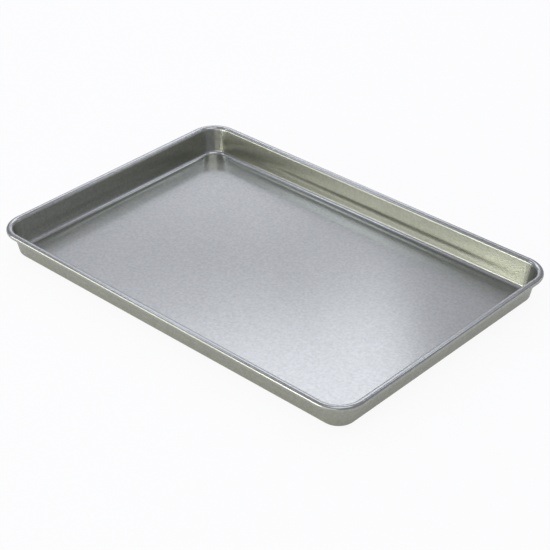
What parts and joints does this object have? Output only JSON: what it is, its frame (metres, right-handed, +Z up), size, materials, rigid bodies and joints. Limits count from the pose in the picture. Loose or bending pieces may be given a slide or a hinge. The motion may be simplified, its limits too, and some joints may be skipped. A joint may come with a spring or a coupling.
{
  "type": "sheet pan",
  "caption": "Shallow rectangular baking pan with outward-leaning walls, rounded corners and a rim rolled over wire, for baking and roasting food.",
  "frame": {"origin": "under the middle of the floor, on the plane that the pan stands on", "axes": "+X along the pan's length, +Y across it, +Z up out of the pan"},
  "size_m": [0.394, 0.267, 0.026],
  "materials": {
    "coated_steel": "satin metallic grey non-stick coating with a fine sparkle",
    "wire_steel": "plain drawn wire"
  },
  "bodies": {
    "root": {"pan_body": "coated_steel", "rim_wire": "wire_steel"}
  },
  "joints": []
}
